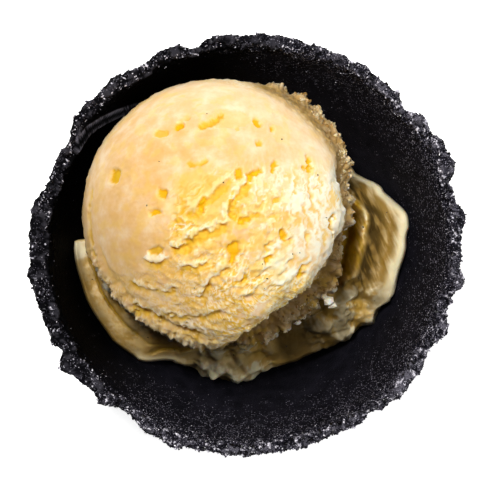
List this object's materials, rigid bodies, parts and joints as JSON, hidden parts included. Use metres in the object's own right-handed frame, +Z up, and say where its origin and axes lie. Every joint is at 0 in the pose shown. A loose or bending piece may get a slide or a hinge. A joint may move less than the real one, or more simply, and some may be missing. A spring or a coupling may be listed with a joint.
{
  "type": "ice cream cup",
  "caption": "Black wafer cup with a torn rim, holding a large scoop of vanilla ice cream that leans to one side on a softer lower mass of the same ice cream.",
  "frame": {"origin": "centre of the cup's flat base, which is the bottom centre of the whole part's box", "axes": "+Z up through the cup's mouth; the scoop leans towards -X +Y, and the lower mass of ice cream shows most towards +X -Y"},
  "size_m": [0.1069, 0.1033, 0.0794],
  "materials": {
    "wafer": "matte baked wafer with fine glinting grain",
    "soft_ice_cream": "half melted, smooth and wet",
    "ice_cream": "satin where smooth, crumbly and frosty where torn"
  },
  "bodies": {
    "root": {"wafer_cup": "wafer", "ice_cream_lower": "soft_ice_cream", "ice_cream_scoop": "ice_cream"}
  },
  "joints": []
}
